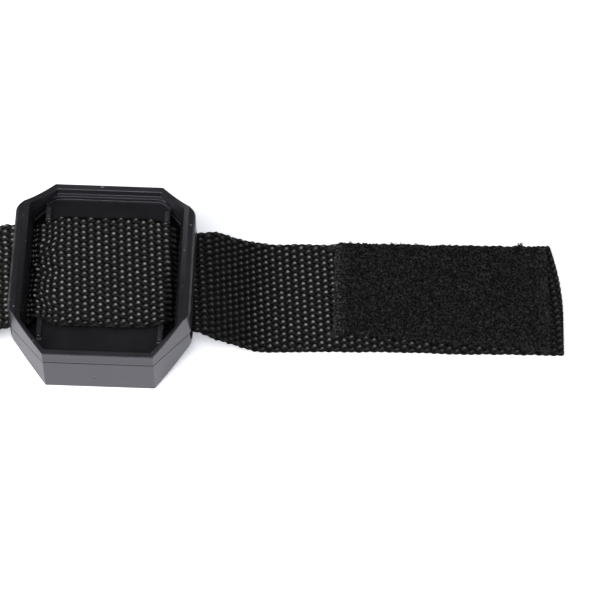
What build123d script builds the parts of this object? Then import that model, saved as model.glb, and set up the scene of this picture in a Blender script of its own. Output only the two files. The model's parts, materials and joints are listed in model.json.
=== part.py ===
from build123d import *
import math
import os

# Wrist strap for static discharge: a rigid module on a length of webbing.
# Frame: origin on the table under the middle of the module, +Z up, +X along the long
# free end of the webbing. The module lies on its front cover with its skin side up.
# All lengths are in millimetres.

# ---- module ------------------------------------------------------------------------
module_width = 37.6            # along X, at the foot of the walls
module_depth = 40.2            # along Y, at the foot of the walls
corner_x = 7.55                # chamfered corner, measured along X
corner_y = 8.2                 # chamfered corner, measured along Y
side_corner_radius = 3.0       # rounding where a chamfer meets a side bar
wall_draft = 1.3               # degrees, the walls lean in towards the skin side
flat_half = 11.0               # the front face is flat out to this X
end_height = 13.4              # rim height along the end walls
side_height = 17.5             # rim height along the side bars
side_bar_inner = 17.0          # the rim is level outside this X
front_rise = 5.9               # the front face climbs this far at the sides
split_height = 10.0            # parting plane between front case and back frame
split_chamfer = 0.15           # both shells are broken back here, which shows as a fine line
mouth_radius = 0.2             # rounding round the tray's mouth
wall = 1.8
arch_sag = 0.5                 # how far each sloping stretch bows towards the table

tray_half_x = 15.2             # inside of the side bars
tray_half_y = 18.5             # inside of the end walls
tray_corner_x = 4.5            # the opening's corners are cut like the outer ones
tray_corner_y = 5.4
tray_bevel_x = 0.9             # the opening's wall leans out by this much at the rim
tray_bevel_y = 0.4
floor_half_y = 17.7            # the floor is a little shorter than the opening,
floor_corner = 3.0             # with rounded corners,
floor_step = 0.9               # which leaves a low ledge round it
floor_top = 11.0
floor_half_x = 12.9            # the floor ends in a rib, and the webbing dives outside it
tray_radius = 0.8
rib_width = 1.15
rib_height = 0.4               # under the webbing
rib_end_height = 1.2           # clear of the webbing
rib_radius = 0.5
rib_half_y = 15.0
rib_saddle = 25.4              # the ribs dip over this width, for the webbing
slot_half_y = 12.1             # half width of the notches in the side walls
notch_bottom = 7.1             # bottom of the webbing notch in the front case walls
gate_mark_radius = 3.0         # curve of the shallow dimple left by the moulding gate,
gate_mark_depth = 0.06         # on the near end wall
gate_mark_place = (-1.0, 4.2)  # X and height

# ---- webbing -----------------------------------------------------------------------
webbing_width = 25.0
webbing_thickness = 1.4
slot_webbing_width = 23.6      # the webbing gathers a little inside the slots
tray_webbing_z = 12.3          # middle of the webbing over the tray floor
exit_webbing_z = 8.3           # middle of the webbing in the side slots
dive_x = 14.1                  # the webbing drops at this X
dive_radius = 1.5
exit_x = 20.1                  # the centre piece of webbing ends here
hinge_gap = 0.5                # clear space between two neighbouring stretches

patch_thickness = 1.5
patch_width = 23.6
right_patch_width = 23.0
right_patch_shift = 0.9        # the right patch is sewn on a little off centre
patch_lean = 24.0              # degrees, end slope that clears the next patch piece

table_z = webbing_thickness / 2
on_patch_z = table_z + patch_thickness

# Bending lines of each free end, as (distance from the module's middle, height).
right_line = [(20.5, 8.2), (32, table_z), (44, table_z), (60, table_z), (76, table_z)]
right_tip = (95, table_z)
left_line = [
    (20.5, 8.2), (32, table_z), (44, table_z), (57, 1.5), (70, on_patch_z),
    (87, on_patch_z), (103, on_patch_z),
]
left_tip = (119, on_patch_z)
right_patch_ends = [(47.3, 59.7), (60.3, 75.7), (76.3, 92.3)]
left_patch_ends = [(73.3, 86.7), (87.3, 102.7), (103.3, 117.0)]

# The free ends lie slightly askew of the module.
right_lay = Pos(0, 0.67, 0) * Rot(0, 0, 1.6)
left_lay = Pos(0, 0.5, 0) * Rot(0, 0, 0.6)

# ---- inner pieces ------------------------------------------------------------------
contact_size = (20.0, 17.0, 0.3)
rivet_hole_radius = 1.6
rivet_shank_radius = 1.5
rivet_head_radius = 2.6
board_size = (19.0, 24.0, 1.0)
board_bottom = 3.6
post_radius = 1.3
post_x = 8.0
post_y = 10.3
discharge_size = (13.0, 17.0, 0.5)
spring_radius = 1.6
spring_wire = 0.25
spring_pitch = 1.3
resistor_radius = 1.15
resistor_length = 6.4
resistor_x = 5.5
lead_radius = 0.3
lead_reach = 2.2
badge_size = (14.0, 20.0, 0.5)
badge_gap = 0.15

# ---- seams -------------------------------------------------------------------------
stitch_count = 9
stitch_size = (0.45, 1.7, 0.3)
stitch_pitch = 2.4

os.makedirs("parts", exist_ok=True)


def save(node, shape):
    """Write one named piece."""
    shape.label = node
    export_step(shape, f"parts/{node}.step")


# ---- module shells -----------------------------------------------------------------
def octagon(half_x, half_y, cut_x, cut_y, side_radius):
    """Rectangle with cut corners, rounded where a cut meets a side bar."""
    quarter = [(half_x, half_y - cut_y), (half_x - cut_x, half_y)]
    points = []
    for turn_x, turn_y, order in ((1, 1, 1), (-1, 1, -1), (-1, -1, 1), (1, -1, -1)):
        points += [(turn_x * x, turn_y * y) for x, y in quarter[::order]]
    face = make_face(Polyline(*points, close=True))
    side_corners = [v for v in face.vertices() if abs(v.X) > half_x - 0.01]
    return fillet(side_corners, side_radius)


def outline(inset):
    """Plan of the module's eight-sided wall, moved in by inset."""
    return octagon(
        module_width / 2 - inset,
        module_depth / 2 - inset,
        corner_x - inset * 0.59,
        corner_y - inset * 0.59,
        side_corner_radius,
    )


def arched(low_flat, low_side, low_z, low_rise, high_flat, high_side, high_z, high_rise):
    """Bar along Y whose lower and upper faces are level in the middle and climb at the sides."""
    reach = module_width / 2 + 2

    def edge(flat, side, z, rise):
        if rise == 0:
            return Line((0, z), (side, z))
        bend = ((flat + side) / 2, z + rise / 2 - arch_sag)
        return Line((0, z), (flat, z)) + ThreePointArc((flat, z), bend, (side, z + rise))

    low = edge(low_flat, low_side, low_z, low_rise)
    high = edge(high_flat, high_side, high_z, high_rise)
    low_end = (low_side, low_z + low_rise)
    high_end = (high_side, high_z + high_rise)
    outer = Polyline(low_end, (reach, low_end[1]), (reach, high_end[1]), high_end)
    half = make_face(low + outer + high + Line((0, high_z), (0, low_z)))
    section = half + mirror(half, Plane.YZ)
    return extrude(Plane.XZ * section, module_depth, both=True)


def prism(inset):
    """Module outline drawn up from the table, with its draft."""
    return extrude(outline(inset), side_height + 1, taper=wall_draft)


def outline_depth(x, y):
    """Distance of a plan point inside the outline at the foot of the walls."""
    x, y = abs(x), abs(y)
    cut = math.hypot(corner_x, corner_y)
    to_cut = ((module_width / 2 - x) * corner_y + (module_depth / 2 - corner_y - y) * corner_x) / cut
    return min(module_width / 2 - x, module_depth / 2 - y, to_cut)


def split_edges(body):
    """Outer edges of a shell on the parting plane."""
    return [
        edge for edge in body.edges()
        if abs((edge @ 0.5).Z - split_height) < 0.01
        and outline_depth((edge @ 0.5).X, (edge @ 0.5).Y) < 0.6
    ]


def mouth_edges(body):
    """Edges of the rim round the tray's mouth."""
    return [
        edge for edge in body.edges()
        if (edge @ 0.5).Z > end_height - 0.2
        and 0.8 < outline_depth((edge @ 0.5).X, (edge @ 0.5).Y) < 4
        and abs((edge @ 0).Z - (edge @ 1).Z) < 4.2
    ]


front_edge = (flat_half, module_width / 2, 0, front_rise)
level_edge = (flat_half, module_width / 2, split_height, 0)


def back_frame():
    """Skin-side frame: rim, webbing tray and the two side bars."""
    high = 2 * side_height
    upper = Box(60, 60, high, align=(Align.CENTER, Align.CENTER, Align.MIN))
    rim = arched(
        flat_half, module_width / 2, 0, 0,
        flat_half, side_bar_inner, end_height, side_height - end_height,
    )
    body = prism(0) & rim & (Pos(0, 0, split_height) * upper)
    tray = octagon(tray_half_x, tray_half_y, tray_corner_x, tray_corner_y, tray_radius)
    mouth = octagon(
        tray_half_x + tray_bevel_x, tray_half_y + tray_bevel_y,
        tray_corner_x, tray_corner_y, tray_radius,
    )
    # The opening's wall is upright low down and leans out towards the rim.
    body -= Pos(0, 0, floor_top + floor_step) * extrude(tray, high)
    body -= loft([Pos(0, 0, end_height - 0.6) * tray, Pos(0, 0, side_height) * mouth])
    floor = RectangleRounded(2 * floor_half_x, 2 * floor_half_y, floor_corner)
    body -= (Pos(0, 0, floor_top) * extrude(floor, high)) & (extrude(tray, 2 * high))
    # Beside the floor the tray is open right through, for the webbing to dive.
    floor_bar = Box(2 * floor_half_x, module_depth, 2 * high)
    body -= extrude(tray, high) - floor_bar
    for side in (-1, 1):
        rib = Box(rib_width, 2 * rib_half_y, 2 * rib_end_height)
        rib -= Pos(0, 0, rib_height + rib_end_height) * Box(2, rib_saddle, 2 * rib_end_height)
        rib = fillet(rib.edges().filter_by(Axis.Y).group_by(Axis.Z)[-1], rib_radius)
        body += Pos(side * (floor_half_x - rib_width / 2), 0, floor_top) * rib
    body -= Pos(0, 0, floor_top) * Cylinder(rivet_hole_radius, 6)
    body = fillet(mouth_edges(body), mouth_radius)
    return chamfer(split_edges(body), split_chamfer)


def front_case():
    """Front cover: a hollow arched shell, open to the frame, notched for the webbing."""
    skin = arched(*front_edge, *level_edge)
    hollow = arched(
        flat_half - 1, module_width / 2, wall, front_rise,
        flat_half, module_width / 2, split_height + 1, 0,
    )
    body = (prism(0) & skin) - (prism(wall) & hollow)
    for side in (-1, 1):
        notch = Box(9, 2 * slot_half_y, 4)
        body -= Pos(side * (floor_half_x + 4.6), 0, notch_bottom + 2) * notch
        for end in (-1, 1):
            height = board_bottom - wall
            post = Cylinder(post_radius, height + 0.2)
            body += Pos(side * post_x, end * post_y, wall + height / 2 - 0.1) * post
    recess = Box(badge_size[0] + 2 * badge_gap, badge_size[1] + 2 * badge_gap, 2 * badge_size[2])
    gate_x, gate_z = gate_mark_place
    wall_y = module_depth / 2 - gate_z * math.tan(math.radians(wall_draft))
    gate_y = gate_mark_depth - wall_y - gate_mark_radius
    body -= Pos(gate_x, gate_y, gate_z) * Sphere(gate_mark_radius)
    return chamfer(split_edges(body - recess), split_chamfer)


def front_badge():
    """Blank inlay in the front cover's face."""
    plate = Box(*badge_size, align=(Align.CENTER, Align.CENTER, Align.MIN))
    return fillet(plate.edges().filter_by(Axis.Z), 1.5)


save("back_frame", back_frame())
save("front_case", front_case())
save("front_badge", front_badge())


# ---- contact and resistor ----------------------------------------------------------
def contact_plate():
    """Metal plate under the webbing, which touches its conductive yarns."""
    plate = Box(*contact_size) - Cylinder(rivet_hole_radius, 4)
    return Pos(0, 0, floor_top + contact_size[2] / 2) * plate


def contact_rivet():
    """Rivet that carries the contact plate through the tray floor."""
    bottom = split_height - 0.8
    top = floor_top + contact_size[2]
    shank = Pos(0, 0, (bottom + top) / 2) * Cylinder(rivet_shank_radius, top - bottom)
    lower_head = Pos(0, 0, bottom + 0.4) * Cylinder(rivet_head_radius, 0.8)
    upper_head = Pos(0, 0, top + 0.1) * Cylinder(rivet_head_radius, 0.2)
    return shank + lower_head + upper_head


def contact_spring():
    """Coil spring between the rivet and the resistor board."""
    bottom = board_bottom + board_size[2] + spring_wire
    height = split_height - 0.8 - spring_wire - bottom
    path = Helix(spring_pitch, height, spring_radius)
    wire = Plane(origin=path @ 0, z_dir=path % 0) * Circle(spring_wire)
    return Pos(0, 0, bottom) * sweep(wire, path=path, is_frenet=True)


def resistor_board():
    """Small circuit board on the front cover's four posts."""
    board = Box(*board_size, align=(Align.CENTER, Align.CENTER, Align.MIN))
    for end in (-1, 1):
        board -= Pos(resistor_x, end * lead_end_y(), 0) * Cylinder(lead_radius + 0.1, 4)
    return Pos(0, 0, board_bottom) * board


def lead_end_y():
    """Distance of each resistor lead's hole from the resistor's middle."""
    return resistor_length / 2 + lead_reach


def resistor_z():
    return board_bottom + board_size[2] + resistor_radius + 0.2


def resistor_body():
    """Series resistor, lying on the board beside the spring."""
    body = Cylinder(resistor_radius, resistor_length)
    body = fillet(body.edges(), 0.4)
    return Pos(resistor_x, 0, resistor_z()) * Rot(90, 0, 0) * body


def resistor_leads():
    """The resistor's two bent leads."""
    leads = []
    for end in (-1, 1):
        start = (resistor_x, end * resistor_length / 2, resistor_z())
        corner = (resistor_x, end * lead_end_y(), resistor_z())
        foot = (resistor_x, end * lead_end_y(), board_bottom - 0.6)
        path = FilletPolyline(start, corner, foot, radius=0.8)
        section = Plane(origin=start, z_dir=(0, end, 0)) * Circle(lead_radius)
        leads.append(sweep(section, path=path))
    return Compound(children=leads)


def discharge_plate():
    """Thin metal plate on the front cover's floor, the far side of the resistor."""
    plate = Box(*discharge_size, align=(Align.CENTER, Align.CENTER, Align.MIN))
    return Pos(0, 0, wall) * fillet(plate.edges().filter_by(Axis.Z), 1.0)


save("contact_plate", contact_plate())
save("contact_rivet", contact_rivet())
save("contact_spring", contact_spring())
save("resistor_board", resistor_board())
save("resistor_body", resistor_body())
save("resistor_leads", resistor_leads())
save("discharge_plate", discharge_plate())


# ---- webbing -----------------------------------------------------------------------
def webbing_centre():
    """Webbing inside the module: over the tray floor, down past each rib and out."""
    line = FilletPolyline(
        (-exit_x, exit_webbing_z), (-dive_x, exit_webbing_z), (-dive_x, tray_webbing_z),
        (dive_x, tray_webbing_z), (dive_x, exit_webbing_z), (exit_x, exit_webbing_z),
        radius=dive_radius,
    )
    ribbon = trace(line, webbing_thickness)
    narrow = extrude(Plane.XZ * ribbon, slot_webbing_width / 2, both=True)
    tray_half = floor_half_x - rib_width - 0.3
    broad = Box(2 * tray_half, webbing_width, webbing_thickness)
    return narrow + Pos(0, 0, tray_webbing_z) * broad


def stretch(start, end, side, rounded_end):
    """One stiff stretch of webbing between two bending lines, with rounded edges."""
    run = Vector(end[0] - start[0], end[1] - start[1])
    length = run.length
    radius = webbing_thickness / 2
    first = hinge_gap / 2
    last = length - hinge_gap / 2 if rounded_end else length
    slab = Box(last - first, webbing_width, webbing_thickness)
    round_edges = slab.edges().filter_by(Axis.Y)
    slab = fillet(round_edges, radius - 0.01)
    slope = math.degrees(math.atan2(run.Y, run.X))
    placed = Rot(0, -slope, 0) * Pos((first + last) / 2, 0, 0) * slab
    placed = Pos(start[0], 0, start[1]) * placed
    return placed if side > 0 else Rot(0, 0, 180) * placed


def free_end(name, line, tip, side, lay):
    """Write every stretch of one free end, numbered outwards from the module."""
    points = line + [tip]
    for number, (start, end) in enumerate(zip(points, points[1:]), start=1):
        piece = stretch(start, end, side, end != tip)
        save(f"{name}_webbing_{number}", lay * piece)


save("webbing_centre", webbing_centre())
free_end("right", right_line, right_tip, 1, right_lay)
free_end("left", left_line, left_tip, -1, left_lay)


# ---- hook and loop patches ---------------------------------------------------------
def patch(near, far, width, bottom, lean):
    """One stretch of patch along +X; its ends lean back by lean degrees as they rise."""
    set_back = patch_thickness * math.tan(math.radians(lean))
    section = Polyline(
        (near, 0), (far, 0), (far - set_back, patch_thickness),
        (near + set_back, patch_thickness), close=True,
    )
    return Pos(0, 0, bottom) * extrude(Plane.XZ * make_face(section), width / 2, both=True)


for number, (near, far) in enumerate(right_patch_ends, start=1):
    piece = patch(near, far, right_patch_width, webbing_thickness, patch_lean)
    save(f"right_patch_{number}", right_lay * Pos(0, right_patch_shift, 0) * piece)
for number, (near, far) in enumerate(left_patch_ends, start=1):
    piece = Rot(0, 0, 180) * patch(near, far, patch_width, 0, 0)
    save(f"left_patch_{number}", left_lay * piece)


# ---- seams -------------------------------------------------------------------------
def seam(x, bottom, side):
    """Row of stitches across the webbing."""
    first = -(stitch_count - 1) / 2 * stitch_pitch
    stitch = Box(*stitch_size, align=(Align.CENTER, Align.CENTER, Align.MIN))
    row = [Pos(x, first + stitch_pitch * i, bottom) * stitch for i in range(stitch_count)]
    group = Compound(children=row)
    return group if side > 0 else Rot(0, 0, 180) * group


right_patch_top = webbing_thickness + patch_thickness
left_webbing_top = on_patch_z + webbing_thickness / 2
right_seam_lay = right_lay * Pos(0, right_patch_shift, 0)
save("right_seam_inner", right_seam_lay * seam(right_patch_ends[0][0] + 1.6, right_patch_top, 1))
save("right_seam_outer", right_seam_lay * seam(right_patch_ends[-1][1] - 1.6, right_patch_top, 1))
save("left_seam_inner", left_lay * seam(left_patch_ends[0][0] + 1.6, left_webbing_top, -1))
save("left_seam_outer", left_lay * seam(left_patch_ends[-1][1] - 1.6, left_webbing_top, -1))
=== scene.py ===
import json
import math

import bpy
import numpy as np
from mathutils import Matrix, Vector


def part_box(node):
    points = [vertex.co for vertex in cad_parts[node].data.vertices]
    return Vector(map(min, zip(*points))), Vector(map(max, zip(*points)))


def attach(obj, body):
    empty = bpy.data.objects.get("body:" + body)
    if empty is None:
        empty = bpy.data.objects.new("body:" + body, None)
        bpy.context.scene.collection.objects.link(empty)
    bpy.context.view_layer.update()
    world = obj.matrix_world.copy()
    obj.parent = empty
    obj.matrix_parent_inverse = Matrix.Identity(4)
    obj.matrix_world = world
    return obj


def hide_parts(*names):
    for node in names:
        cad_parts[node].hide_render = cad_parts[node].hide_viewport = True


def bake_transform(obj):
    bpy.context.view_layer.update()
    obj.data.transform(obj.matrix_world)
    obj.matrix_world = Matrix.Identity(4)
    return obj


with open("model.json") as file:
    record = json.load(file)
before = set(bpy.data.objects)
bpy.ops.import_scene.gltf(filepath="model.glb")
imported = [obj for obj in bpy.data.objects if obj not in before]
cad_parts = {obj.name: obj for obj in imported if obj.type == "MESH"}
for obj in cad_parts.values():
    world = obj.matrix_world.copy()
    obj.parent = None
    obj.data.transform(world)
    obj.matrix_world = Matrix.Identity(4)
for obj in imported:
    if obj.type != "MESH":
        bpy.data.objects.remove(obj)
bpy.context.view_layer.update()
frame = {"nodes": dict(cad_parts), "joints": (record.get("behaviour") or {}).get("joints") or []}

MM = 0.001
random = np.random.default_rng(11)

# ---- camera --------------------------------------------------------------------------
CAMERA_ELEVATION = math.radians(62.27)
CAMERA_AZIMUTH = math.radians(-0.09)
CAMERA_ROLL = math.radians(-2.08)
CAMERA_DISTANCE = 550.0 * MM
CAMERA_TARGET = Vector((40.36, 1.62, 0.0)) * MM
CAMERA_LENS = 157.84           # on a 36 mm sensor


def make_camera():
    """Camera high above the near side, with a long lens."""
    az, el, roll = CAMERA_AZIMUTH, CAMERA_ELEVATION, CAMERA_ROLL
    back = Vector((math.sin(az) * math.cos(el), -math.cos(az) * math.cos(el), math.sin(el)))
    right = Vector((math.cos(az), math.sin(az), 0.0))
    up = back.cross(right)
    cam_right = right * math.cos(roll) - up * math.sin(roll)
    cam_up = right * math.sin(roll) + up * math.cos(roll)
    data = bpy.data.cameras.new("camera")
    data.lens = CAMERA_LENS
    data.sensor_width = 36.0
    data.clip_start = 0.01
    data.clip_end = 20.0
    camera = bpy.data.objects.new("camera", data)
    bpy.context.scene.collection.objects.link(camera)
    place = CAMERA_TARGET + back * CAMERA_DISTANCE
    turn = Matrix((cam_right, cam_up, back)).transposed().to_4x4()
    camera.matrix_world = Matrix.Translation(place) @ turn
    bpy.context.scene.camera = camera


make_camera()


# ---- light and floor -----------------------------------------------------------------
TABLE_REACH = 6.0              # half the table's side, in metres
TABLE_DROP = 0.05 * MM         # the table lies this far below the part
LIGHT_AIM = (0.03, 0, 0)
LIGHTS = (                     # name, place, side, power, colour
    ("key", (-0.95, -0.5, 1.05), 1.0, 21.0, (1.0, 0.98, 0.96)),
    ("top", (-0.05, -0.55, 1.5), 0.55, 13.0, (1.0, 0.99, 0.97)),
    ("fill", (1.05, -0.3, 0.9), 1.0, 4.0, (0.95, 0.97, 1.0)),
)


def area_light(name, place, side, power, colour):
    """Square lamp at a place, turned towards the strap."""
    data = bpy.data.lights.new(name, "AREA")
    data.shape = "RECTANGLE"
    data.size = data.size_y = side
    data.energy = power
    data.color = colour
    lamp = bpy.data.objects.new(name, data)
    lamp.location = place
    direction = Vector(LIGHT_AIM) - Vector(place)
    lamp.rotation_euler = direction.to_track_quat("-Z", "Y").to_euler()
    bpy.context.scene.collection.objects.link(lamp)


def make_stage():
    """Plain white table under soft studio light."""
    scene = bpy.context.scene
    scene.view_settings.view_transform = "Standard"
    world = bpy.data.worlds.new("studio")
    world.use_nodes = True
    background = world.node_tree.nodes["Background"]
    background.inputs["Color"].default_value = (0.93, 0.95, 1.0, 1.0)
    background.inputs["Strength"].default_value = 0.12
    scene.world = world
    mesh = bpy.data.meshes.new("table_top")
    corners = [(TABLE_REACH * u, TABLE_REACH * v, 0) for u, v in ((-1, -1), (1, -1), (1, 1), (-1, 1))]
    mesh.from_pydata(corners, [], [(0, 1, 2, 3)])
    table = bpy.data.objects.new("table_top", mesh)
    table.location.z = -TABLE_DROP
    scene.collection.objects.link(table)
    paper, _, _, bsdf = new_material("white_table")
    bsdf.inputs["Base Color"].default_value = (0.91, 0.92, 0.95, 1)
    bsdf.inputs["Roughness"].default_value = 0.9
    bsdf.inputs["Emission Color"].default_value = (0.92, 0.94, 1.0, 1)
    bsdf.inputs["Emission Strength"].default_value = 0.4
    mesh.materials.append(paper)
    for light in LIGHTS:
        area_light(*light)


# ---- material helpers ----------------------------------------------------------------
def new_material(name):
    """A node material; returns it with its nodes, its links and its shader."""
    material = bpy.data.materials.new(name)
    material.use_nodes = True
    tree = material.node_tree
    return material, tree.nodes, tree.links, tree.nodes["Principled BSDF"]


def noise(nodes, links, scale, detail, stretch=(1, 1, 1)):
    """Noise over the piece's own coordinates; scale is in features per metre."""
    place = nodes.new("ShaderNodeTexCoord")
    mapping = nodes.new("ShaderNodeMapping")
    mapping.inputs["Scale"].default_value = stretch
    texture = nodes.new("ShaderNodeTexNoise")
    texture.inputs["Scale"].default_value = scale
    texture.inputs["Detail"].default_value = detail
    links.new(place.outputs["Object"], mapping.inputs["Vector"])
    links.new(mapping.outputs["Vector"], texture.inputs["Vector"])
    return texture.outputs["Fac"]


def ramp(nodes, links, source, stops):
    """Colour ramp from a list of (position, grey or colour)."""
    node = nodes.new("ShaderNodeValToRGB")
    elements = node.color_ramp.elements
    while len(elements) < len(stops):
        elements.new(0.5)
    for element, (position, value) in zip(elements, stops):
        colour = value if hasattr(value, "__len__") else (value, value, value)
        element.position = position
        element.color = (*colour, 1.0)
    links.new(source, node.inputs["Fac"])
    return node.outputs["Color"]


def mix(nodes, links, kind, factor, first, second):
    """Mix of two colours; each input is a socket or a plain value."""
    node = nodes.new("ShaderNodeMix")
    node.data_type = "RGBA"
    node.blend_type = kind
    fac, a, b = (node.inputs[k] for k in (0, 6, 7))
    for socket, value in ((fac, factor), (a, first), (b, second)):
        if isinstance(value, bpy.types.NodeSocket):
            links.new(value, socket)
        else:
            socket.default_value = value if socket == fac else (*value, 1.0)
    return node.outputs[2]


def bump(nodes, links, height, strength, distance, under=None):
    """Normal bumped by a height, on top of another normal if one is given."""
    node = nodes.new("ShaderNodeBump")
    node.inputs["Strength"].default_value = strength
    node.inputs["Distance"].default_value = distance
    links.new(height, node.inputs["Height"])
    if under is not None:
        links.new(under, node.inputs["Normal"])
    return node.outputs["Normal"]


def attribute(nodes, name):
    """Value that the mesh carries at its points."""
    node = nodes.new("ShaderNodeAttribute")
    node.attribute_name = name
    return node.outputs["Fac"]


def spread_over(nodes, links, axis, low, high):
    """Value from 0 to 1 between two distances from the origin along an axis, in millimetres."""
    place = nodes.new("ShaderNodeTexCoord")
    split = nodes.new("ShaderNodeSeparateXYZ")
    links.new(place.outputs["Object"], split.inputs["Vector"])
    distance = nodes.new("ShaderNodeMath")
    distance.operation = "ABSOLUTE"
    links.new(split.outputs[axis], distance.inputs[0])
    spread = nodes.new("ShaderNodeMapRange")
    spread.inputs["From Min"].default_value = low * MM
    spread.inputs["From Max"].default_value = high * MM
    links.new(distance.outputs["Value"], spread.inputs["Value"])
    return spread.outputs["Result"]


# ---- materials -----------------------------------------------------------------------
# grey of the painted highlight along the side bars' outer edges
EDGE_HIGHLIGHT_GREY = (0.065, 0.065, 0.072)
DUST_GREY = (0.42, 0.42, 0.44)
COOL_GLOSS = (0.84, 0.82, 1.0)
EDGE_RADIUS = 0.3 * MM         # the moulding's edges are this round


def tray_painted_shade_and_light(nodes, links):
    """Painted shade and light over height: the tray floor, its ledge and its walls are painted
    darker, as shade falls in the tray, and the tops of its ribs and the rim are painted lighter, as
    light falls on them.
    """
    height = spread_over(nodes, links, "Z", 10.0, 14.0)
    ribs = ramp(nodes, links, height, [
        (0.15, 1.0), (0.2, 0.5), (0.3, 0.5), (0.38, 1.9), (0.52, 1.9), (0.6, 1.0),
    ])
    ends = ramp(nodes, links, height, [
        (0.15, 1.0), (0.2, 0.5), (0.42, 0.5), (0.46, 0.75), (0.7, 0.8), (0.83, 1.5), (0.95, 1.3),
    ])
    past_ribs = spread_over(nodes, links, "Y", 15.2, 15.5)
    return mix(nodes, links, "MIX", past_ribs, ribs, ends)


def rim_only(nodes, links):
    """Mask of everything above the tray."""
    height = spread_over(nodes, links, "Z", 12.0, 14.0)
    return ramp(nodes, links, height, [(0.4, 0.0), (0.6, 1.0)])


def painted_edge_highlight(nodes, links):
    """Mask of the painted highlight along the side bars' outer edges, broken up here and there."""
    patchy = ramp(nodes, links, noise(nodes, links, 420, 3.0), [(0.3, 0.35), (0.6, 1.0)])
    outside = spread_over(nodes, links, "X", 17.9, 18.25)
    on_top = spread_over(nodes, links, "Z", 16.4, 16.9)
    highlighted = mix(nodes, links, "MULTIPLY", 1.0, patchy, outside)
    return mix(nodes, links, "MULTIPLY", 1.0, highlighted, on_top)


def moulded_plastic(name, base, speck):
    """Semi-matt black moulding: fine spark texture, cloudy gloss, dust specks, painted shade and
    light over the tray's height, and a painted highlight along the side bars' outer edges.
    """
    material, nodes, links, bsdf = new_material(name)
    grain = noise(nodes, links, 5200, 2.0)
    clouds = noise(nodes, links, 170, 4.0)
    dust = noise(nodes, links, 1300, 1.0)
    dusty = ramp(nodes, links, dust, [(0.745, 0.0), (0.79, speck)])
    dusty = mix(nodes, links, "MULTIPLY", 1.0, dusty, rim_only(nodes, links))
    dark, light = (tuple(c * factor for c in base) for factor in (0.85, 1.18))
    shade = ramp(nodes, links, clouds, [(0.3, dark), (0.7, light)])
    # painted shade: the tray floor is darker; painted light: the rib tops and the rim are lighter
    shade = mix(nodes, links, "MULTIPLY", 1.0, shade, tray_painted_shade_and_light(nodes, links))
    # painted highlight along the side bars' outer edges
    shade = mix(nodes, links, "MIX", painted_edge_highlight(nodes, links), shade, EDGE_HIGHLIGHT_GREY)
    colour = mix(nodes, links, "MIX", dusty, shade, DUST_GREY)
    links.new(colour, bsdf.inputs["Base Color"])
    rough = ramp(nodes, links, clouds, [(0.25, 0.27), (0.75, 0.36)])
    links.new(rough, bsdf.inputs["Roughness"])
    bsdf.inputs["Specular IOR Level"].default_value = 0.5
    bsdf.inputs["Specular Tint"].default_value = (*COOL_GLOSS, 1)
    edge = nodes.new("ShaderNodeBevel")
    edge.samples = 8
    edge.inputs["Radius"].default_value = EDGE_RADIUS
    grained = bump(nodes, links, grain, 0.35, 0.00003, edge.outputs["Normal"])
    links.new(grained, bsdf.inputs["Normal"])
    return material


def webbing_yarn():
    """Black filament yarn with painted highlight dots on the crowns and painted shade in the valleys
    between them, with fine lines along each yarn.
    """
    material, nodes, links, bsdf = new_material("webbing_yarn")
    crown = attribute(nodes, "crown")
    # painted shade: the lower the yarn lies, the darker
    body = ramp(nodes, links, crown, [(0.0, 0.0003), (0.7, 0.005), (0.9, 0.011)])
    # painted highlight dots on the crowns
    highlight_dots = ramp(nodes, links, crown, [(0.79, 0.0), (0.88, 0.02), (0.96, 0.155)])
    # the tint attribute is the yarn's random tone times the painted light and shade from crown_light
    vary = ramp(nodes, links, attribute(nodes, "tint"), [(0.0, 0.04), (1.0, 1.4)])
    highlight_dots = mix(nodes, links, "MULTIPLY", 1.0, highlight_dots, vary)
    links.new(mix(nodes, links, "ADD", 1.0, body, highlight_dots), bsdf.inputs["Base Color"])
    bsdf.inputs["Roughness"].default_value = 0.45
    bsdf.inputs["Specular IOR Level"].default_value = 0.11
    strands = noise(nodes, links, 1500, 2.0, (1.0, 9.0, 9.0))
    links.new(bump(nodes, links, strands, 0.5, 0.00005), bsdf.inputs["Normal"])
    return material


def pile_material(name, low, high):
    """Matt black fuzz."""
    material, nodes, links, bsdf = new_material(name)
    clump = noise(nodes, links, 2600, 2.0)
    fine = noise(nodes, links, 6500, 2.0)
    colour = ramp(nodes, links, clump, [(0.42, low), (0.64, high)])
    vary = ramp(nodes, links, attribute(nodes, "tint"), [(0.0, 0.35), (1.0, 2.6)])
    links.new(mix(nodes, links, "MULTIPLY", 1.0, colour, vary), bsdf.inputs["Base Color"])
    bsdf.inputs["Roughness"].default_value = 0.75
    bsdf.inputs["Specular IOR Level"].default_value = 0.08
    bsdf.inputs["Sheen Weight"].default_value = 0.015
    bsdf.inputs["Sheen Roughness"].default_value = 0.45
    links.new(bump(nodes, links, fine, 0.6, 0.00008), bsdf.inputs["Normal"])
    return material


def metal(name, colour, roughness, scale):
    """Metal with fine brushed lines."""
    material, nodes, links, bsdf = new_material(name)
    bsdf.inputs["Metallic"].default_value = 1.0
    lines = noise(nodes, links, scale, 3.0, (1.0, 14.0, 1.0))
    shade = ramp(nodes, links, lines, [(0.3, tuple(c * 0.8 for c in colour)), (0.7, colour)])
    links.new(shade, bsdf.inputs["Base Color"])
    rough = ramp(nodes, links, lines, [(0.3, roughness * 0.8), (0.7, roughness * 1.3)])
    links.new(rough, bsdf.inputs["Roughness"])
    links.new(bump(nodes, links, lines, 0.2, 0.00002), bsdf.inputs["Normal"])
    return material


def lacquer(name, low, high, roughness, scale):
    """Smooth coating with a slightly patchy colour."""
    material, nodes, links, bsdf = new_material(name)
    patchy = noise(nodes, links, scale, 3.0)
    links.new(ramp(nodes, links, patchy, [(0.35, low), (0.65, high)]), bsdf.inputs["Base Color"])
    bsdf.inputs["Roughness"].default_value = roughness
    links.new(bump(nodes, links, patchy, 0.15, 0.00003), bsdf.inputs["Normal"])
    return material


make_stage()

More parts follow.
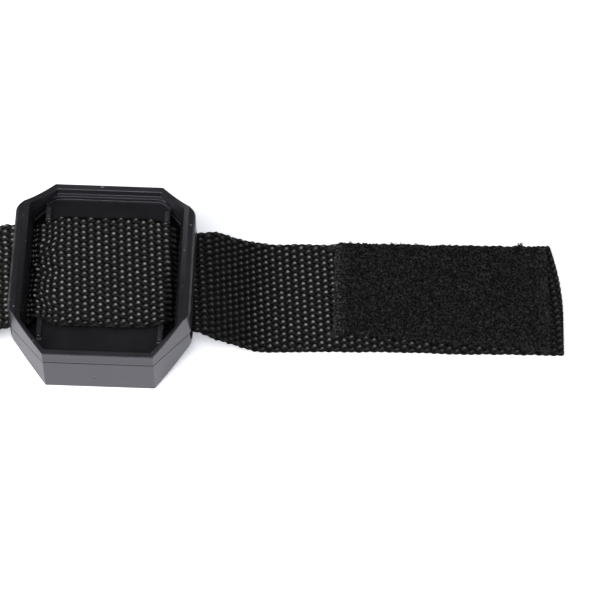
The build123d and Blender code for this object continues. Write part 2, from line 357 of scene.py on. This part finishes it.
plastic_back = moulded_plastic("moulded_frame", (0.0125, 0.0128, 0.014), 0.55)
plastic_case = moulded_plastic("moulded_case", (0.0165, 0.0162, 0.0195), 0.35)
plastic_badge = lacquer("badge_inlay", (0.02, 0.02, 0.022), (0.03, 0.03, 0.033), 0.25, 300)
yarn = webbing_yarn()
pile = pile_material("loop_pile", (0.0003, 0.0003, 0.00035), (0.026, 0.0262, 0.0278))
hooks = pile_material("hook_tape", 0.003, 0.009)
thread = pile_material("sewing_thread", 0.006, 0.02)
fibre = pile_material("loose_fibre", 0.03, 0.06)
plated = metal("plated_contact", (0.66, 0.64, 0.6), 0.28, 900)
spring_wire = metal("spring_wire", (0.55, 0.55, 0.56), 0.3, 1500)
solder_mask = lacquer("solder_mask", (0.012, 0.09, 0.04), (0.02, 0.13, 0.06), 0.3, 500)
resin = lacquer("resistor_lacquer", (0.4, 0.28, 0.13), (0.5, 0.37, 0.2), 0.35, 700)

node_materials = {
    "back_frame": plastic_back,
    "front_case": plastic_case,
    "front_badge": plastic_badge,
    "contact_plate": plated,
    "contact_rivet": plated,
    "contact_spring": spring_wire,
    "resistor_board": solder_mask,
    "resistor_body": resin,
    "resistor_leads": plated,
    "discharge_plate": plated,
}
for node, material in node_materials.items():
    mesh = frame["nodes"][node].data
    mesh.materials.clear()
    mesh.materials.append(material)


# ---- the strap's line ----------------------------------------------------------------
# Lengths are in millimetres from here on. mesh_object turns them into metres.
def hinge(name):
    """Place of a joint, in millimetres."""
    joint = next(j for j in frame["joints"] if j["name"] == name)
    return Vector(joint["pos_m"]) / MM


def chain(side):
    """Bending lines of one free end, from the module outwards."""
    names = sorted(
        (j["name"] for j in frame["joints"] if j["name"].startswith(side)),
        key=lambda name: abs(hinge(name).x),
    )
    return [hinge(name) for name in names]


right_hinges = chain("right")
left_hinges = chain("left")
right_tip_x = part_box("right_webbing_5")[1][0] / MM
left_tip_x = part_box("left_webbing_7")[0][0] / MM

HALF_THICK = 0.7               # half the webbing's thickness
DIVE_X = 14.05                 # the webbing drops beside the ribs
SLOT_Z = 8.75                  # its height under the side bars
EXIT_Z = SLOT_Z - 0.1          # its height where it leaves the slots
EXIT_REACH = 0.6               # how much further out it bends down on the right
LEFT_BENDS = [30, 30, 30, 60, 30, 12, 6]  # radii of its bends, from the left tip inwards
DIVE_BENDS = [1.5, 1.5, 1.5, 1.5]
RIGHT_BENDS = [5, 13]
tray_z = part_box("webbing_centre")[1][2] / MM - HALF_THICK


def rounded_line(points, radii):
    """Straight runs joined by tangent arcs, as closely spaced (x, z) points."""
    line = [np.array(points[0], float)]
    for before, corner, after, radius in zip(points, points[1:], points[2:], radii):
        corner = np.array(corner, float)
        into = corner - before
        out = after - corner
        into, out = into / np.linalg.norm(into), out / np.linalg.norm(out)
        turn = math.acos(np.clip(into @ out, -1, 1))
        reach = radius * math.tan(turn / 2)
        begin, finish = corner - into * reach, corner + out * reach
        side = np.sign(into[0] * out[1] - into[1] * out[0])
        centre = begin + side * radius * np.array((-into[1], into[0]))
        steps = max(3, int(turn * radius / 0.1))
        for step in range(steps + 1):
            angle = side * turn * step / steps
            arm_x, arm_z = begin - centre
            cos, sin = math.cos(angle), math.sin(angle)
            line.append(centre + np.array((arm_x * cos - arm_z * sin, arm_x * sin + arm_z * cos)))
        line.append(finish)
    line.append(np.array(points[-1], float))
    return np.array(line)


def strap_line():
    """Middle of the webbing from the left tip to the right tip: distances along it, and (x, z)."""
    left = [(h.x, h.z) for h in reversed(left_hinges)]
    left[-1] = (left[-1][0], EXIT_Z)
    tray = [(-DIVE_X, SLOT_Z), (-DIVE_X, tray_z), (DIVE_X, tray_z), (DIVE_X, SLOT_Z)]
    bend, foot = right_hinges[:2]
    right = [(bend.x + EXIT_REACH, EXIT_Z), (foot.x, foot.z), (right_tip_x, HALF_THICK)]
    points = [(left_tip_x, left[0][1])] + left + tray + right
    line = rounded_line([np.array(p) for p in points], LEFT_BENDS + DIVE_BENDS + RIGHT_BENDS)
    gaps = np.linalg.norm(np.diff(line, axis=0), axis=1)
    keep = np.concatenate([[True], gaps > 1e-6])
    line = line[keep]
    s = np.concatenate([[0], np.cumsum(np.linalg.norm(np.diff(line, axis=0), axis=1))])
    return s, line


line_s, line_xz = strap_line()
line_s = line_s - float(np.interp(0.0, line_xz[:, 0], line_s))


def s_at(x):
    """Distance along the webbing at an x outside the dives."""
    line_x = line_xz[:, 0]
    k = np.searchsorted(np.maximum.accumulate(line_x), x)
    x0, x1 = line_x[k - 1], line_x[k]
    share = 0 if x1 == x0 else (x - x0) / (x1 - x0)
    return float(line_s[k - 1] + share * (line_s[k] - line_s[k - 1]))


def line_at(s):
    """Points, and normals on the skin side, at distances s along the webbing."""
    step = 0.15
    (x, z), before, after = (
        [np.interp(s + shift, line_s, line_xz[:, k]) for k in (0, 1)] for shift in (0.0, -step, step)
    )
    dx, dz = after[0] - before[0], after[1] - before[1]
    length = np.hypot(dx, dz)
    return x, z, -dz / length, dx / length


# ---- webbing -------------------------------------------------------------------------
PICK = 1.55                    # spacing of the weft picks
ENDS = 36                      # warp yarns across the webbing
END = 0.695                    # their spacing
YARN_HALF = 0.50               # half width of a yarn where it is on top
YARN_RISE = 0.34               # its height there
WEAVE = 0.31                   # how far a yarn rises and dips
CORE = 0.07                    # least half thickness between the yarns
PICK_SLANT = 0.085             # the picks lean this much across the webbing
HALF = 0.5 * ENDS * END
ROW = 0.185                    # spacing of the mesh rows
COLUMNS = 150                  # mesh points across the webbing
PICK_ROWS = 400                # the random shades repeat after this many picks

# Half width and middle of the webbing at distances x from the module.
HALF_WIDTHS = (
    [-120, -30, -23, -19.5, -17, -14.3, -12.5, -9, 9, 12.5, 14.3, 17, 19.5, 22.5, 27, 31, 61, 72, 96],
    [12.5, 12.55, 12.4, 11.9, 11.5, 10.7, 11.1, 12.4,
     12.4, 11.6, 11.1, 11.25, 11.4, 12.2, 12.3, 12.55, 12.35, 12.6, 12.65],
)
RIGHT_MIDDLE = ([0, 17, 22, 26, 30, 40, 82, 96], [0.1, 0.32, 0.5, 0.75, 1.15, 1.79, 2.95, 3.3])


def middle_y(x):
    """Middle of the webbing across the strap at x."""
    right = np.interp(x, *RIGHT_MIDDLE)
    first, last = left_hinges[0], left_hinges[-1]
    left = first.y + (x - first.x) * ((first.y - last.y) / (first.x - last.x))
    blend = np.clip((x + 20) / 12, 0, 1)
    tray = left * (1 - blend) + RIGHT_MIDDLE[1][0] * blend
    return np.where(x < -20, left, np.where(x < 0, tray, right))


def hump(value, centre, width):
    """Bell curve of height 1."""
    return np.exp(-(((value - centre) / width) ** 2))


def slot_crease(x, y):
    """Mask of the crease outside the left slot."""
    return hump(x, -22.0, 2.4) * hump(y, 1.4 + 0.35 * (x + 22), 0.9)


def wrinkle(s, x, y):
    """Height of the soft waves and creases, in millimetres."""
    wave = 0.10 * np.sin(s * 0.21 + y * 0.12) * np.sin(y * 0.23 + 0.7)
    flat = np.clip((np.abs(x) - 30) / 8, 0, 1)
    rise = 0.16 * flat * (wave + 0.10)
    # gathers beside the ribs, the left one with a dent
    rise = rise + hump(x, -12.6, 2.2) * (0.2 * np.sin(y * 1.05 + 0.5) + 0.07 * np.sin(y * 2.1))
    rise = rise - 0.5 * hump(x, -12.6, 1.5) * hump(y, 2.6, 1.0)
    rise = rise + hump(x, 13.2, 1.6) * 0.16 * np.sin(y * 0.9 - 0.6)
    rise = rise - 0.75 * slot_crease(x, y)
    # the tray stretch crowns a little between the ribs
    crown = np.clip(1 - (x / 12.5) ** 2, 0, 1) * np.clip(1 - (y / 12.6) ** 2, 0, 1)
    return rise + 0.45 * crown


cloud_grids = random.random((4, 512, 512))


def cloud(x, y, cell, layer):
    """Smooth random heights from 0 to 1 over a plan, with features of one cell."""
    column, row = x / cell + 500, y / cell + 500
    i, j = np.floor(column).astype(int), np.floor(row).astype(int)
    u, v = column - i, row - j
    u, v = u * u * (3 - 2 * u), v * v * (3 - 2 * v)
    grid = cloud_grids[layer]
    size = grid.shape[0]
    low = grid[i % size, j % size] * (1 - u) + grid[(i + 1) % size, j % size] * u
    high = grid[i % size, (j + 1) % size] * (1 - u) + grid[(i + 1) % size, (j + 1) % size] * u
    return low * (1 - v) + high * v


picks_random = random.random((PICK_ROWS, ENDS + 4))
wander_phase = random.random(ENDS + 4) * 2 * math.pi


def sway(s, y):
    """How far the picks are pushed along the strap, and crowded, where the left rib gathers it."""
    tray = hump(s, -12.0, 3.2) * (0.42 * np.sin(y * 0.62 - 1.1) + 0.16 * np.sin(y * 1.5))
    outside = hump(s, -27.0, 4.5) * 0.45 * np.sin(y * 0.8 + 0.4)
    crowded = 0.8 * np.tanh((s + 12.4) / 2.2)
    return tray + outside + crowded


def weave_face(s, yarn_y, sign):
    """Height of one face above the middle of the webbing, and the crown and tint values."""
    phase_s = s + PICK_SLANT * yarn_y + sway(s, yarn_y)
    pick = np.rint(phase_s / PICK).astype(int) % PICK_ROWS
    nearest = np.rint((yarn_y + HALF) / END - 0.5).astype(int)
    best = np.full(s.shape, -9.0)
    tint = np.zeros(s.shape)
    crown = np.zeros(s.shape)
    for step in (-2, -1, 0, 1, 2):
        j = np.clip(nearest + step, 0, ENDS - 1)
        wander = 0.07 * np.sin(s * 0.45 + wander_phase[j])
        centre = (j + 0.5) * END - HALF + wander
        value = picks_random[pick, j]
        wave = WEAVE * np.cos(math.pi * (phase_s / PICK + j)) * sign
        across = np.clip(1 - ((yarn_y - centre) / YARN_HALF) ** 2, 0, None)
        roundness = YARN_RISE * np.sqrt(across) - np.where(across <= 0, 0.6, 0)
        height = wave * (0.86 + 0.28 * value) + roundness
        tint = np.where(height > best, value, tint)
        crown = np.where(height > best, wave + roundness, crown)
        best = np.maximum(best, height)
    edge = np.clip((np.abs(yarn_y) - (HALF - 0.35)) / 0.45, 0, 1)
    # the crown value sets the painted highlight dots and the painted valley shade; it fades towards
    # the selvedges
    crown = np.clip(crown / (WEAVE + YARN_RISE), 0, 1) * (1 - 0.5 * edge)
    height = (CORE + np.maximum(best, 0.05)) * np.sqrt(np.clip(1 - edge**2, 0, 1))
    return height, crown, tint


def mesh_object(name, points, corners, starts):
    """Smooth object from points in millimetres, its faces' corners and where each face starts."""
    mesh = bpy.data.meshes.new(name)
    mesh.vertices.add(len(points))
    mesh.vertices.foreach_set("co", (points * MM).ravel())
    mesh.loops.add(len(corners))
    mesh.loops.foreach_set("vertex_index", corners.astype(np.int32))
    mesh.polygons.add(len(starts))
    mesh.polygons.foreach_set("loop_start", starts.astype(np.int32))
    mesh.update(calc_edges=True)
    mesh.validate()
    mesh.polygons.foreach_set("use_smooth", np.ones(len(mesh.polygons), bool))
    mesh.update()
    piece = bpy.data.objects.new(name, mesh)
    bpy.context.scene.collection.objects.link(piece)
    return piece


def closed_sheet(name, top, bottom):
    """Closed mesh from two matching grids of points; returns the object."""
    rows, columns = top.shape[:2]
    points = np.concatenate([top.reshape(-1, 3), bottom.reshape(-1, 3)])
    index = np.arange(rows * columns).reshape(rows, columns)
    under = index + rows * columns
    faces = [np.stack([index[:-1, :-1], index[1:, :-1], index[1:, 1:], index[:-1, 1:]], -1)]
    faces.append(np.stack([under[:-1, :-1], under[:-1, 1:], under[1:, 1:], under[1:, :-1]], -1))
    rims = (
        (index[:, 0], under[:, 0], False), (index[:, -1], under[:, -1], True),
        (index[0], under[0], True), (index[-1], under[-1], False),
    )
    for upper, lower, flip in rims:
        quads = np.stack([upper[:-1], lower[:-1], lower[1:], upper[1:]], -1)
        faces.append(quads[:, ::-1] if flip else quads)
    quads = np.concatenate([f.reshape(-1, 4) for f in faces])
    return mesh_object(name, points, quads.ravel(), np.arange(0, quads.size, 4))


def add_attribute(piece, name, values):
    """Put values, given as one array or more, on the points of a mesh."""
    stored = piece.data.attributes.new(name, "FLOAT", "POINT")
    stored.data.foreach_set("value", np.concatenate([v.ravel() for v in values]).astype(np.float32))


def tip_shift(x, y):
    """How far the cut end falls short of a square cut, growing over the last few millimetres."""
    right = np.clip((x - (right_tip_x - 7)) / 7, 0, 1) * 0.0085 * np.clip(y + 5.0, 0, None) ** 2
    left = np.clip(((left_tip_x + 7) - x) / 7, 0, 1) * 0.0065 * np.clip(y + 7.0, 0, None) ** 2
    return left - right


def crown_light(x, yarn_y, nx):
    """Painted light and shade on the crowns: lighter on slopes that face left, darker on slopes that
    face right, and painted shade outside the right slot, past the right rib, under the patch and
    along the selvedges."""
    light = np.clip(1 - 1.7 * nx * np.abs(nx), 0.3, 1.25) * (1 - 0.55 * hump(x, 20.5, 4.5))
    light = light * np.interp(x, [47.0, 50.0, 86.0, 91.0], [1.0, 0.6, 0.3, 0.05])
    light = light * (1 - 0.5 * hump(x, 25.0, 4.5) * np.clip((-yarn_y - 3.0) / 5.0, 0, 1))
    light = light * np.interp(x, [11.4, 12.8, 14.0, 17.0, 19.0], [1.0, 0.6, 0.45, 0.45, 1.0])
    return light * (1 - 0.5 * np.clip(np.abs(yarn_y) / HALF, 0, 1) ** 6)


def webbing_piece(name, x_from, x_to):
    """One stretch of the webbing between two x positions, and its flat length."""
    start, stop = s_at(x_from), s_at(x_to)
    rows = int(round((stop - start) / ROW)) + 1
    s = np.linspace(start, stop, rows)[:, None] * np.ones((1, COLUMNS))
    yarn_y = np.linspace(-HALF - 0.1, HALF + 0.1, COLUMNS)[None, :] * np.ones((rows, 1))
    x, z, nx, nz = line_at(s)
    bulge = 0.20 * np.abs(np.cos(math.pi * s / PICK)) + 0.22 * (cloud(s, s * 0 + 7, 2.6, 3) - 0.5)
    scallop = bulge * np.clip(np.abs(yarn_y) / HALF, 0, 1) ** 8
    half = np.interp(x, *HALF_WIDTHS)
    y = middle_y(x) + yarn_y / HALF * (half + scallop)
    across = y - middle_y(x)
    lift = wrinkle(s, x, across)
    # painted light and shade on the crowns, with painted shade in the crease outside the left slot
    light = crown_light(x, yarn_y, nx) * (1 - 0.85 * slot_crease(x, across))
    faces, crowns, tones_and_light = [], [], []
    for sign in (1, -1):
        height, crown, tint = weave_face(s, yarn_y, sign)
        offset = lift + sign * height
        shifted_x = x + nx * offset
        shifted_x = shifted_x + tip_shift(shifted_x, across)
        faces.append(np.stack([shifted_x, y, np.maximum(z + nz * offset, 0.02)], -1))
        crowns.append(crown)
        # random tone times the painted light and shade
        tones_and_light.append((0.38 + 0.62 * tint) * light)
    piece = closed_sheet(name, *faces)
    add_attribute(piece, "crown", crowns)
    add_attribute(piece, "tint", tones_and_light)
    piece.data.materials.append(yarn)
    return piece, stop - start


SLOT_X = 17.2                  # webbing pieces meet here, under the side bars


def joins(hinges, tip_x):
    """The x positions at which neighbouring pieces of one free end meet."""
    places = [math.copysign(SLOT_X, tip_x)]
    places += [(a.x + b.x) / 2 for a, b in zip(hinges, hinges[1:])]
    return places + [tip_x]


centre, centre_length = webbing_piece("webbing_in_tray", -SLOT_X, SLOT_X)
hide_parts("webbing_centre")
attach(centre, "module")

for side, hinges, tip_x in (("right", right_hinges, right_tip_x), ("left", left_hinges, left_tip_x)):
    places = joins(hinges, tip_x)
    for k, (near, far) in enumerate(zip(places, places[1:])):
        low, high = min(near, far), max(near, far)
        piece, length = webbing_piece(f"{side}_webbing_skin_{k + 1}", low, high)
        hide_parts(f"{side}_webbing_{k + 1}")
        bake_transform(piece)


# ---- hook and loop patches -----------------------------------------------------------
PATCH_CELL = 0.17              # spacing of the mesh points
PATCH_WIDTH = 23.0
PATCH_BACK = {"right": 1.40, "left": 1.50}  # height of the side that is sewn on
RIGHT_ENDS = (47.35, 92.7)
RIGHT_SPLIT = 68.0             # each patch is two pieces, which meet here
LEFT_ENDS = (-117.0, -73.3)
LEFT_SPLIT = -95.0
EDGE_START, EDGE_RUN = 47.3, 45.0  # the right patch's edges slant over this stretch of x:
NEAR_EDGE = (-6.9, -2.4)       # y at its start, and how far the edge shifts over it
FAR_EDGE = (14.6, 0.35)
LEFT_PATCH_HALF = 11.8         # half width of the left patch
SLANT = 0.036                  # how much the right patch's outer end is off square,
SLANT_START, SLANT_RUN = 82.0, 10.0  # growing over this stretch
LOOP_DENSITY = 6.5             # loops per square millimetre
LOOP_RADIUS = 0.046
HOOK_ROWS = 1.1                # spacing of the hooks along the strap
HOOK_STEP = 1.2                # and across it
HOOK_HALF = 11.0               # half width of the hooked strip
HOOK_MARGIN = 0.8              # the tape's ends are bare


def patch_edges(side, x):
    """Near and far edge of a patch at x."""
    if side == "right":
        share = (x - EDGE_START) / EDGE_RUN
        near, far = (start + shift * share for start, shift in (NEAR_EDGE, FAR_EDGE))
    else:
        near, far = middle_y(x) - LEFT_PATCH_HALF, middle_y(x) + LEFT_PATCH_HALF
    near = near + 0.5 * (cloud(x, x * 0, 0.9, 0) - 0.5)
    near = near + 0.35 * (cloud(x, x * 0 + 40, 0.35, 1) - 0.5)
    far = far + 0.3 * (cloud(x, x * 0 + 80, 0.9, 0) - 0.5)
    far = far + 0.2 * (cloud(x, x * 0 + 120, 0.35, 1) - 0.5)
    return near, far


def end_slant(side, x, y):
    """How far the outer end of the right patch falls back, at y from its near edge."""
    if side == "left":
        return np.zeros(np.shape(x))
    return -SLANT * y * np.clip((x - SLANT_START) / SLANT_RUN, 0, 1)


def end_inset(x, ends):
    """Distance from the nearer end of a patch."""
    return np.minimum(x - min(ends), max(ends) - x)


def patch_face(side, x, y, inset):
    """Height of the tape's face above its back; inset is the distance from the patch's border."""
    rounded = np.sqrt(np.clip(1 - (1 - np.clip(inset / 0.6, 0, 1)) ** 2, 0, 1))
    if side == "right":
        fuzz = 0.5 * cloud(x, y, 0.75, 0) + 0.3 * cloud(x, y, 0.36, 1)
        return (0.62 + fuzz) * (0.25 + 0.75 * rounded)
    ribs = 0.05 * np.cos(2 * math.pi * x / 0.55) * np.cos(2 * math.pi * y / 0.9)
    return (0.5 + ribs) * (0.4 + 0.6 * rounded)


def patch_piece(side, name, x_from, x_to, ends):
    """Closed tape between two x positions of a patch whose own ends are given."""
    rows = int(abs(x_to - x_from) / PATCH_CELL) + 1
    columns = int(PATCH_WIDTH / PATCH_CELL) + 1
    x = np.linspace(min(x_from, x_to), max(x_from, x_to), rows)[:, None] * np.ones((1, columns))
    near, far = patch_edges(side, x)
    y = near + (far - near) * np.linspace(0, 1, columns)[None, :]
    border_x = 0.35 * (cloud(x * 0, y, 0.8, 2) - 0.5)
    inset_x = end_inset(x, ends)
    inset = np.minimum(np.minimum(y - near, far - y), inset_x)
    x = x + border_x * np.clip(1 - inset_x / 1.5, 0, 1) + end_slant(side, x, y - near)
    height = patch_face(side, x, y, inset)
    up = 1 if side == "right" else -1
    back = PATCH_BACK[side] + wrinkle(x, x, y - middle_y(x))
    face = np.stack([x, y, back + up * height], -1)
    rear = np.stack([x, y, back], -1)
    top, bottom = (face, rear) if side == "right" else (rear, face)
    piece = closed_sheet(name, top, bottom)
    light = patch_tint(side, x, inset_x)
    add_attribute(piece, "tint", [light, light])
    piece.data.materials.append(pile if side == "right" else hooks)
    return piece


def patch_tint(side, x, inset_x):
    """Shade of a patch: the pile is lighter near its own ends, less so near the outer end."""
    if side == "left":
        return np.full(np.shape(x), 0.4)
    return 0.24 + 0.62 * np.clip(1.15 - inset_x / 2.4, 0, 1) * np.where(x < 70, 1.0, 0.45)


def tube_mesh(name, paths, radii, sides, material, tint=0.4):
    """One mesh of many thin tubes; paths is (count, points, 3) and radii (count, points)."""
    count, points = paths.shape[:2]
    along = np.gradient(paths, axis=1)
    along /= np.linalg.norm(along, axis=2, keepdims=True) + 1e-9
    reference = np.cross(paths[:, -1] - paths[:, 0] + (1e-4, 2e-4, 0), (0.13, 0.21, 1.0))[:, None]
    across = reference - along * (along * reference).sum(2, keepdims=True)
    across /= np.linalg.norm(across, axis=2, keepdims=True) + 1e-9
    third = np.cross(along, across)
    turn = 2 * math.pi * np.arange(sides) / sides
    ring = across[:, :, None] * np.cos(turn)[:, None] + third[:, :, None] * np.sin(turn)[:, None]
    verts = (paths[:, :, None] + ring * radii[:, :, None, None]).reshape(-1, 3)
    index = np.arange(count * points * sides).reshape(count, points, sides)
    rolled = np.roll(index, -1, axis=2)
    quads = np.stack([index[:, :-1], rolled[:, :-1], rolled[:, 1:], index[:, 1:]], -1).reshape(-1, 4)
    caps = np.concatenate([index[:, 0, ::-1], index[:, -1]])
    loops = np.concatenate([quads.ravel(), caps.ravel()])
    starts = np.concatenate([
        np.arange(0, quads.size, 4), quads.size + np.arange(0, caps.size, sides),
    ])
    piece = mesh_object(name, verts, loops, starts)
    piece.data.materials.append(material)
    shades = np.broadcast_to(np.asarray(tint, float), (count,))
    add_attribute(piece, "tint", [np.repeat(shades, points * sides)])
    return piece


def scatter(x_from, x_to):
    """Random places on the right patch, as x, y and distance from the border along y."""
    count = int((x_to - x_from) * 22.5 * LOOP_DENSITY)
    x = x_from + (x_to - x_from) * random.random(count)
    near, far = patch_edges("right", x)
    y = near + (far - near) * random.random(count)
    return x, y, np.minimum(y - near, far - y)


def loop_pile(name, x_from, x_to, ends):
    """Small crushed loops standing on the loop tape."""
    x, y, inset = scatter(x_from, x_to)
    count = len(x)
    inset_x = end_inset(x, ends)
    inset = np.minimum(inset, inset_x)
    lay = wrinkle(x, x, y - middle_y(x))
    base = PATCH_BACK["right"] + lay + patch_face("right", x, y, inset) - 0.08
    x_seen = x + end_slant("right", x, y - patch_edges("right", x)[0])
    heading = 2 * math.pi * random.random(count)
    span = 0.18 + 0.24 * random.random(count)
    tall = 0.16 + 0.30 * random.random(count)
    lean = 0.35 * random.standard_normal(count)
    t = np.linspace(0, math.pi, 7)[None, :]
    forward = (span[:, None] * -np.cos(t)) + 0.1 * np.sin(2 * t)
    height = tall[:, None] * np.sin(t)
    sideways = lean[:, None] * height
    cos, sin = np.cos(heading)[:, None], np.sin(heading)[:, None]
    paths = np.stack([
        x_seen[:, None] + forward * cos - sideways * sin,
        y[:, None] + forward * sin + sideways * cos,
        base[:, None] + height,
    ], -1)
    radii = np.full((count, 7), LOOP_RADIUS) * (0.8 + 0.5 * random.random((count, 1)))
    shades = patch_tint("right", x, inset_x) * (0.25 + 5.0 * random.random(count) ** 4)
    return tube_mesh(name, paths, radii, 3, pile, shades)


def hook_pile(name, x_from, x_to, ends):
    """Stiff J-shaped hooks hanging from the hook tape, in staggered rows."""
    low, high = min(x_from, x_to), max(x_from, x_to)
    places = []
    for place in np.arange(math.ceil(low / HOOK_ROWS) * HOOK_ROWS, high, HOOK_ROWS):
        if place - min(ends) < HOOK_MARGIN or max(ends) - place < HOOK_MARGIN:
            continue
        shift = HOOK_STEP / 2 * (int(round(place / HOOK_ROWS)) % 2)
        across = np.arange(shift - HOOK_HALF, HOOK_HALF, HOOK_STEP)
        places += [(place, float(middle_y(np.array(place))) + float(v)) for v in across]
    places = np.array(places) + 0.06 * random.standard_normal((len(places), 2))
    x, y = places[:, 0], places[:, 1]
    count = len(x)
    t = np.linspace(0, 1, 10)[None, :]
    facing = np.where(np.rint(y / HOOK_STEP).astype(int) % 2 == 0, 1.0, -1.0)[:, None]
    bend = np.clip((t - 0.35) / 0.65, 0, 1) * 3.9
    forward = 0.22 * (1 - np.cos(bend)) * facing
    drop = 0.42 * np.clip(t / 0.35, 0, 1) + 0.22 * np.sin(bend)
    top = 1.02 + wrinkle(x, x, y - middle_y(x))
    paths = np.stack([
        x[:, None] + forward, y[:, None] + 0 * forward, np.maximum(top[:, None] - drop, 0.12),
    ], -1)
    radii = np.linspace(0.095, 0.055, 10)[None, :] * np.ones((count, 1))
    return tube_mesh(name, paths, radii, 5, hooks)


def stitches(name, x, low, high, z):
    """Row of thread stitches across the strap, each dipping at its ends."""
    pitch = 1.3
    y = np.arange(low + 0.4, high - pitch, pitch)
    t = np.linspace(0, 1, 7)[None, :]
    dip = 0.24 * np.abs(2 * t - 1) ** 3
    jitter = 0.08 * random.standard_normal((len(y), 1))
    paths = np.stack([
        x + jitter + 0 * t, y[:, None] + 0.05 + (pitch - 0.1) * t, z - dip + 0 * jitter,
    ], -1)
    radii = 0.16 * np.ones((len(y), 1)) * (1 - 0.35 * np.abs(2 * t - 1) ** 2)
    piece = tube_mesh(name, paths, radii, 8, thread)
    return piece


# side, part, its ends, the patch's ends, a hinge's number, the CAD nodes
patch_plan = (
    ("right", 1, RIGHT_ENDS[0], RIGHT_SPLIT, RIGHT_ENDS, 3, ("right_patch_1",)),
    ("right", 2, RIGHT_SPLIT, RIGHT_ENDS[1], RIGHT_ENDS, 4, ("right_patch_2", "right_patch_3")),
    ("left", 1, LEFT_ENDS[1], LEFT_SPLIT, LEFT_ENDS, 5, ("left_patch_1",)),
    ("left", 2, LEFT_SPLIT, LEFT_ENDS[0], LEFT_ENDS, 6, ("left_patch_2", "left_patch_3")),
)
for side, part, near, far, ends, bend, nodes_replaced in patch_plan:
    hinges = right_hinges if side == "right" else left_hinges
    make_pile = loop_pile if side == "right" else hook_pile
    tape = patch_piece(side, f"{side}_patch_skin_{part}", near, far, ends)
    fuzz = make_pile(f"{side}_pile_{part}", near, far, ends)
    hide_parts(*nodes_replaced)
    for piece in (tape, fuzz):
        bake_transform(piece)


# ---- loose hairs and seams -----------------------------------------------------------
def stray_hairs(name, x, y, spread_x, spread_y, reach, count, material):
    """A wisp of loose pile round (x, y), combed towards reach = (dx, dy)."""
    start = np.stack([
        x + spread_x * random.standard_normal(count),
        y + spread_y * random.standard_normal(count),
        1.9 + 0.5 * random.random(count),
    ], -1)
    t = np.linspace(0, 1, 6)[None, :, None]
    push = np.array([[reach[0], reach[1], 0.15]]) * (0.4 + 0.8 * random.random((count, 1)))
    curl = 0.35 * random.standard_normal((count, 3)) * (1, 1, 0.4)
    paths = start[:, None] + push[:, None] * t + curl[:, None] * np.sin(math.pi * t) * t
    radii = 0.045 * (1.15 - np.linspace(0, 1, 6)[None, :]) * np.ones((count, 1))
    return tube_mesh(name, paths, radii, 3, material, 0.1 + 0.3 * random.random(count))


# name, place, spread, reach, count, material, body
hair_plan = (
    ("tuft_far_edge", 86.2, 14.9, 0.35, 0.1, (0.2, 1.0), 70, pile, "right_end_5"),
    ("tuft_far_corner", 47.5, 13.4, 0.2, 0.35, (-1.8, -0.5), 70, fibre, "right_end_3"),
    ("tuft_near_corner", 48.0, -7.0, 0.6, 0.3, (-1.3, -0.9), 60, fibre, "right_end_3"),
)
for name, x, y, spread_x, spread_y, reach, count, material, body in hair_plan:
    piece = stray_hairs(name, x, y, spread_x, spread_y, reach, count, material)
    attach(piece, body)

RIGHT_SEAMS = np.array([48.9, 90.7])
LEFT_SEAMS = np.array([-74.9, -115.4])
LEFT_SEAM_HALF = 11            # half the length of a left seam
right_near, right_far = patch_edges("right", RIGHT_SEAMS)
left_near, left_far = middle_y(LEFT_SEAMS) - LEFT_SEAM_HALF, middle_y(LEFT_SEAMS) + LEFT_SEAM_HALF
seam_plan = (
    ("right_seam_inner", RIGHT_SEAMS[0], right_near[0], right_far[0], 2.36, "right_end_3"),
    ("right_seam_outer", RIGHT_SEAMS[1], right_near[1], right_far[1], 2.38, "right_end_5"),
    ("left_seam_inner", LEFT_SEAMS[0], left_near[0], left_far[0], 2.86, "left_end_5"),
    ("left_seam_outer", LEFT_SEAMS[1], left_near[1], left_far[1], 2.86, "left_end_7"),
)
for node, x, low, high, z, body in seam_plan:
    piece = stitches(f"{node}_thread", float(x), float(low), float(high), z)
    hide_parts(node)
    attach(piece, body)
